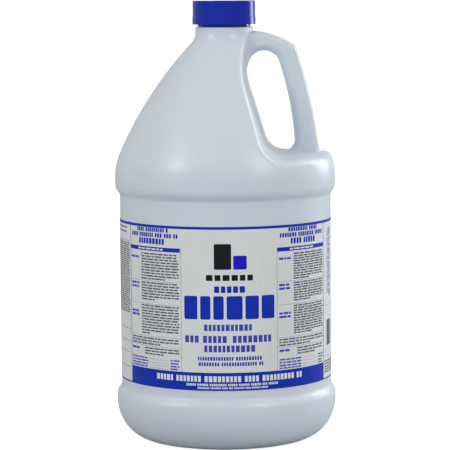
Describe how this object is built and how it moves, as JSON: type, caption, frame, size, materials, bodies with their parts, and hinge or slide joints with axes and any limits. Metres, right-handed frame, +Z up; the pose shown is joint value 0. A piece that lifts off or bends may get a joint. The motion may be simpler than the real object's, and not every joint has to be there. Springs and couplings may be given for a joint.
{
  "type": "bleach bottle",
  "caption": "Large blow-moulded plastic jug with a hollow moulded handle, a wrap-round label and a blue push-and-turn screw closure.",
  "frame": {"origin": "centre of the ring that the bottle stands on", "axes": "+Z up along the bottle's axis, +X towards the handle, -Y towards the front of the label"},
  "size_m": [0.1548, 0.1548, 0.3076],
  "materials": {
    "bottle": "satin, slightly translucent white",
    "label": "satin printed film",
    "liner": "soft foam disc",
    "inner_cap": "gloss",
    "cap_shell": "gloss"
  },
  "bodies": {
    "bottle_body": {"bottle": "bottle", "neck_finish": "bottle", "label": "label"},
    "cap_carrier": {"liner": "liner"},
    "threaded_cap": {"inner_cap": "inner_cap"},
    "outer_cap": {"cap_shell": "cap_shell"}
  },
  "joints": [
    {"name": "cap_lift", "type": "slide", "parent": "bottle_body", "child": "cap_carrier", "axis": [0, 0, 1], "range_m": [0, 0.0111]},
    {"name": "cap_turn", "type": "hinge", "parent": "cap_carrier", "child": "threaded_cap", "pos_m": [0, 0, 0.2955], "axis": [0, 0, 1], "range_deg": [0, 936]},
    {"name": "shell_press", "type": "slide", "parent": "threaded_cap", "child": "outer_cap", "axis": [0, 0, 1], "range_m": [-0.0013, 0], "stiffness_N_per_m": 4000, "springref_m": 0.0015}
  ],
  "couplings": [
    {"joint": "cap_lift", "follows": "cap_turn", "m_per_rad": 0.0006737}
  ]
}
